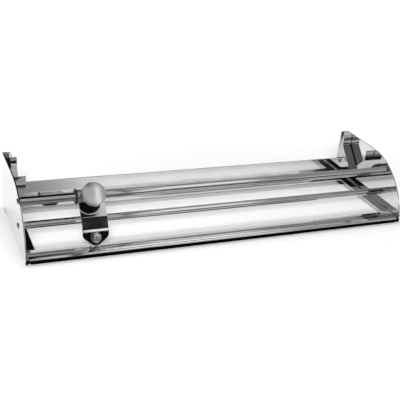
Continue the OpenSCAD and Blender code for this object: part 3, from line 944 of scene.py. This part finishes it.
def studio_world():
    """White to the eye and even on matt things, while polished metal sees the whole room.

    A place in the room is how far a direction leans to the right, and the angle from the front
    horizon, over the top, to the back horizon, as a share of half a turn.
    """
    world = bpy.data.worlds.new("studio")
    world.use_nodes = True
    tree = world.node_tree
    tree.nodes.clear()
    toward = put(tree, "ShaderNodeTexCoord").outputs["Generated"]
    parts = put(tree, "ShaderNodeSeparateXYZ", {0: toward})
    front = put(tree, "ShaderNodeMath", {0: parts.outputs["Y"], 1: -1.0}, operation="MULTIPLY")
    angle = put(
        tree,
        "ShaderNodeMath",
        {0: parts.outputs["Z"], 1: front.outputs[0]},
        operation="ARCTAN2",
    )
    share = put(tree, "ShaderNodeMath", {0: angle.outputs[0], 1: math.pi}, operation="DIVIDE")
    bands = put(tree, "ShaderNodeValToRGB", {"Fac": share.outputs[0]}, stops=ROOM_BANDS)
    room = bands.outputs["Color"]
    for (left, right, side_edge), (low, high, band_edge), shades in ROOM_PATCHES:
        across = between(tree, parts.outputs["X"], left, right, side_edge)
        up = between(tree, share.outputs[0], low, high, band_edge)
        inside = put(tree, "ShaderNodeMath", {0: across, 1: up}, operation="MULTIPLY")
        patch = put(tree, "ShaderNodeValToRGB", {"Fac": share.outputs[0]}, stops=shades)
        mixed = put(
            tree,
            "ShaderNodeMix",
            {"Factor": inside.outputs[0], "A": room, "B": patch.outputs["Color"]},
            data_type="RGBA",
        )
        room = mixed.outputs["Result"]
    seen = put(tree, "ShaderNodeLightPath")
    mirrored = put(tree, "ShaderNodeBackground", {"Color": room, "Strength": 1.0})
    open_air = put(tree, "ShaderNodeBackground", {"Color": linear("#ffffff"), "Strength": 1.0})
    lit = put(tree, "ShaderNodeBackground", {"Color": linear("#ffffff"), "Strength": WORLD_LIGHT})
    by_eye = put(
        tree,
        "ShaderNodeMixShader",
        {0: seen.outputs["Is Camera Ray"], 1: lit.outputs[0], 2: open_air.outputs[0]},
    )
    by_gloss = put(
        tree,
        "ShaderNodeMixShader",
        {0: seen.outputs["Is Glossy Ray"], 1: by_eye.outputs[0], 2: mirrored.outputs[0]},
    )
    put(tree, "ShaderNodeOutputWorld", {"Surface": by_gloss.outputs[0]})
    bpy.context.scene.world = world


def studio_paper(name, corners, along, stops, fade=None, layer=1, twice=None):
    """A paper on the floor that shows only in polished metal, shaded by stops along X or Y.

    With a fade, it thins out between two places. A second layer lies on the first. A mirror
    image of its mirror image can have a shade of its own.
    """
    made, tree, place, out = fresh_material(name)
    parts = put(tree, "ShaderNodeSeparateXYZ", {0: place})
    start, end = stops[0][0], stops[-1][0]
    run = put(
        tree,
        "ShaderNodeMapRange",
        {"Value": parts.outputs[along], "From Min": start, "From Max": end},
    )
    shares = [((at - start) / (end - start), code) for at, code in stops]
    bands = put(tree, "ShaderNodeValToRGB", {"Fac": run.outputs["Result"]}, stops=shares)
    shade = bands.outputs["Color"]
    if twice:
        seen = put(tree, "ShaderNodeLightPath")
        again = put(
            tree,
            "ShaderNodeMath",
            {0: seen.outputs["Glossy Depth"], 1: 1.5},
            operation="GREATER_THAN",
        )
        either = put(
            tree,
            "ShaderNodeMix",
            {"Factor": again.outputs[0], "A": shade, "B": linear(twice)},
            data_type="RGBA",
        )
        shade = either.outputs["Result"]
    glow = put(tree, "ShaderNodeEmission", {"Color": shade, "Strength": 1.0})
    cover = glow.outputs[0]
    if fade:
        thin = put(
            tree,
            "ShaderNodeMapRange",
            {"Value": parts.outputs[along], "From Min": fade[0], "From Max": fade[1]},
            interpolation_type="SMOOTHSTEP",
        )
        clear = put(tree, "ShaderNodeBsdfTransparent")
        mixed = put(
            tree,
            "ShaderNodeMixShader",
            {0: thin.outputs["Result"], 1: cover, 2: clear.outputs[0]},
        )
        cover = mixed.outputs[0]
    tree.links.new(cover, out.inputs["Surface"])
    (x0, y0), (x1, y1) = corners
    z = PAPER_T * layer
    mesh = bpy.data.meshes.new(name)
    mesh.from_pydata([(x0, y0, z), (x1, y0, z), (x1, y1, z), (x0, y1, z)], [], [(0, 1, 2, 3)])
    paper = mesh_object(name, mesh, made)
    paper.visible_camera = False
    paper.visible_diffuse = False
    paper.visible_shadow = False
    paper.visible_transmission = False


def soft_lamp(name, place, aim, size, power):
    """A soft box that lights the stand and that polished metal doesn't mirror."""
    light = bpy.data.lights.new(name, "AREA")
    light.shape = "RECTANGLE"
    light.size, light.size_y = size
    light.energy = power
    lamp = bpy.data.objects.new(name, light)
    bpy.context.scene.collection.objects.link(lamp)
    place = Vector(place)
    turn = (Vector(aim) - place).to_track_quat("-Z", "Y").to_matrix().to_4x4()
    lamp.matrix_world = Matrix.Translation(place) @ turn
    lamp.visible_glossy = False


def photo_camera():
    """The photograph's view, fitted to the stand's straight edges."""
    yaw, pitch, roll = (math.radians(a) for a in VIEW_TURN)
    level = math.cos(pitch)
    ahead = Vector((math.sin(yaw) * level, math.cos(yaw) * level, -math.sin(pitch)))
    right = Vector((math.cos(yaw), -math.sin(yaw), 0))
    up = right.cross(ahead)
    leaned_right = math.cos(roll) * right + math.sin(roll) * up
    leaned_up = -math.sin(roll) * right + math.cos(roll) * up
    turn = Matrix((leaned_right, leaned_up, -ahead)).transposed().to_4x4()
    camera = bpy.data.cameras.new("photo_view")
    camera.sensor_fit = "HORIZONTAL"
    camera.sensor_width = 36.0
    camera.lens = VIEW_LENS
    camera.clip_start = 0.01
    view = bpy.data.objects.new("photo_view", camera)
    view.matrix_world = Matrix.Translation(VIEW_PLACE) @ turn
    bpy.context.scene.collection.objects.link(view)
    bpy.context.scene.camera = view


def even(code):
    """The stops of a ramp of one shade."""
    return [(0.0, code), (1.0, code)]


# The fitted camera: yaw, pitch and roll in degrees, its place, and its focal length
VIEW_TURN = (24.48, 25.42, 5.72)
VIEW_PLACE = (-0.3879, -0.8266, 0.4538)
VIEW_LENS = 69.94

LIP_Y = cad_bounds[0][1]
LIP_PAPERS_Y = LIP_Y - 0.1
# How far the occlusion reaches that paints shade into the floor before the lip
LIP_SHADOW = 20.0 * MM
FLOOR_WHITE = linear("#f2f2f2")
FLOOR_GLOW = 0.05
FAR_FLOOR_GLOW = 0.8
WORLD_LIGHT = 0.4
PAPER_T = 0.2 * MM
ROOM_BANDS = [
    (0.0, "#0a0a0a"),
    (0.015, "#0a0a0a"),
    (0.035, "#fafafa"),
    (0.27, "#fafafa"),
    (0.3, "#d6d6d6"),
    (0.39, "#d6d6d6"),
    (0.43, "#9a9a9a"),
    (0.52, "#8c8c8c"),
    (0.54, "#fafafa"),
    (0.6, "#fafafa"),
    (0.64, "#484848"),
    (0.74, "#303030"),
    (1.0, "#303030"),
]
# A patch: left, right and their softness, low, high and their softness, and its shades
ROOM_PATCHES = [
    # Greys over the right of the stand, round one broad white window
    (
        (0.28, 2.0, 0.015),
        (-0.5, 1.5, 0.01),
        [
            (0.0, "#8c8c8c"),
            (0.1, "#8c8c8c"),
            (0.13, "#ffffff"),
            (0.41, "#ffffff"),
            (0.5, "#909090"),
            (0.75, "#888888"),
            (1.0, "#848484"),
        ],
    ),
    # An even grey at the far right
    ((0.465, 2.0, 0.03), (0.165, 0.72, 0.02), even("#969696")),
    # What the rear strip mirrors by way of the rear wall
    ((0.31, 0.55, 0.02), (0.1468, 0.168, 0.0006), even("#9a9a9a")),
    # A pale wall low at the back, brightest behind the middle
    ((0.25, 2.0, 0.09), (0.79, 0.848, 0.006), even("#b4b4b4")),
    ((0.25, 0.45, 0.05), (0.79, 0.848, 0.006), even("#ffffff")),
    # Greys at the left, a dark edge, and a pale part that the left of the rear strip mirrors
    (
        (-0.35, 0.2, 0.015),
        (-0.5, 0.7, 0.02),
        [(0.0, "#808080"), (0.09, "#808080"), (0.13, "#b4b4b4"), (1.0, "#acacac")],
    ),
    ((0.18, 0.207, 0.006), (-0.5, 0.6, 0.02), even("#c4c4c4")),
    ((0.21, 0.227, 0.004), (-0.5, 0.6, 0.02), even("#464646")),
    ((0.175, 0.3, 0.01), (0.138, 0.153, 0.003), even("#f4f4f4")),
    # What the two upper flats of the cutter plate mirror
    ((0.21, 0.2495, 0.002), (0.31, 0.38, 0.004), even("#060606")),
    ((0.215, 0.275, 0.005), (0.2, 0.24, 0.005), even("#202020")),
    # Black behind the left strip of the tray
    ((-0.1, 0.168, 0.003), (0.45, 1.1, 0.01), even("#0c0c0c")),
    # The far left of the room, with a pale part that the right cheek mirrors
    (
        (-2.0, -0.35, 0.06),
        (-0.5, 1.5, 0.01),
        [
            (0.0, "#0c0c0c"),
            (0.125, "#0c0c0c"),
            (0.135, "#161616"),
            (0.155, "#161616"),
            (0.165, "#101010"),
            (0.24, "#101010"),
            (0.33, "#666666"),
            (0.37, "#666666"),
            (0.42, "#404040"),
            (0.6, "#404040"),
            (0.7, "#707070"),
            (0.8, "#808080"),
            (1.0, "#8a8a8a"),
        ],
    ),
    ((-0.507, -0.35, 0.004), (0.1, 0.2, 0.01), even("#e0e0e0")),
]
# The papers up to the front lip: left, right, and shades by their distance before the lip
LIP_PAPERS = {
    "banded_left_paper": (
        -1.5,
        -0.09,
        [
            (0.1, "#0a0a0a"),
            (0.0665, "#0a0a0a"),
            (0.0645, "#a8a8a8"),
            (0.0535, "#a8a8a8"),
            (0.0515, "#101010"),
            (0.044, "#101010"),
            (0.042, "#8c8c8c"),
            (0.015, "#8c8c8c"),
            # Painted contact shadow before the lip, which the lip mirrors
            (0.012, "#080808"),
            (0.0, "#080808"),
        ],
    ),
    "grey_middle_paper": (
        -0.09,
        0.28,
        [
            (0.1, "#808080"),
            (0.05, "#808080"),
            (0.035, "#e0e0e0"),
            (0.015, "#e0e0e0"),
            # Painted contact shadow before the lip, which the lip mirrors
            (0.012, "#080808"),
            (0.0, "#080808"),
        ],
    ),
    "black_right_paper": (
        0.28,
        1.5,
        [
            (0.1, "#0a0a0a"),
            (0.033, "#0a0a0a"),
            (0.031, "#9a9a9a"),
            (0.015, "#9a9a9a"),
            # Painted contact shadow before the lip, which the lip mirrors
            (0.012, "#080808"),
            (0.0, "#080808"),
        ],
    ),
}

studio_floor()
studio_world()
studio_paper(
    "black_far_paper",
    ((-1.5, -2.5), (1.5, LIP_PAPERS_Y)),
    "Y",
    [
        (LIP_Y - 1.0, "#0a0a0a"),
        (LIP_Y - 0.22, "#0a0a0a"),
        (LIP_Y - 0.19, "#707070"),
        (LIP_PAPERS_Y, "#707070"),
    ],
)
for name, (left, right, shades) in LIP_PAPERS.items():
    stops = [(LIP_Y - before, code) for before, code in shades]
    studio_paper(name, ((left, LIP_PAPERS_Y), (right, LIP_Y)), "Y", stops)
# Painted shade on the floor under the rods, which the rods mirror, while the front strip mirrors
# the rods with a white floor in them
studio_paper(
    "grey_paper_under_the_rods",
    ((-0.235, -0.0566), (0.16, -0.004)),
    "X",
    [
        (-0.235, "#3c3c3c"),
        (-0.16, "#4c4c4c"),
        (-0.12, "#8c8c8c"),
        (0.0, "#808080"),
        (0.16, "#808080"),
    ],
    twice="#ffffff",
)
studio_paper(
    "black_cradle_paper",
    ((0.095, LIP_Y - 0.057), (0.175, LIP_Y - 0.032)),
    "X",
    [(0.095, "#0a0a0a"), (0.175, "#0a0a0a")],
    layer=2,
)
studio_paper(
    "grey_left_paper",
    ((-0.235, 0.004), (0.0, 0.0514)),
    "X",
    [
        (-0.235, "#8c8c8c"),
        (-0.195, "#9c9c9c"),
        (-0.165, "#b8b8b8"),
        (-0.13, "#e0e0e0"),
        (-0.05, "#ffffff"),
    ],
    fade=(-0.15, -0.05),
)
soft_lamp("top_soft_box", (-0.1, 0.3, 1.35), (0, 0, 0), (0.7, 0.5), 6.6)
soft_lamp("front_soft_box", (-0.55, -1.22, 0.87), (0, 0, 0), (0.5, 0.35), 18.0)
photo_camera()
bpy.context.scene.view_settings.view_transform = "Standard"
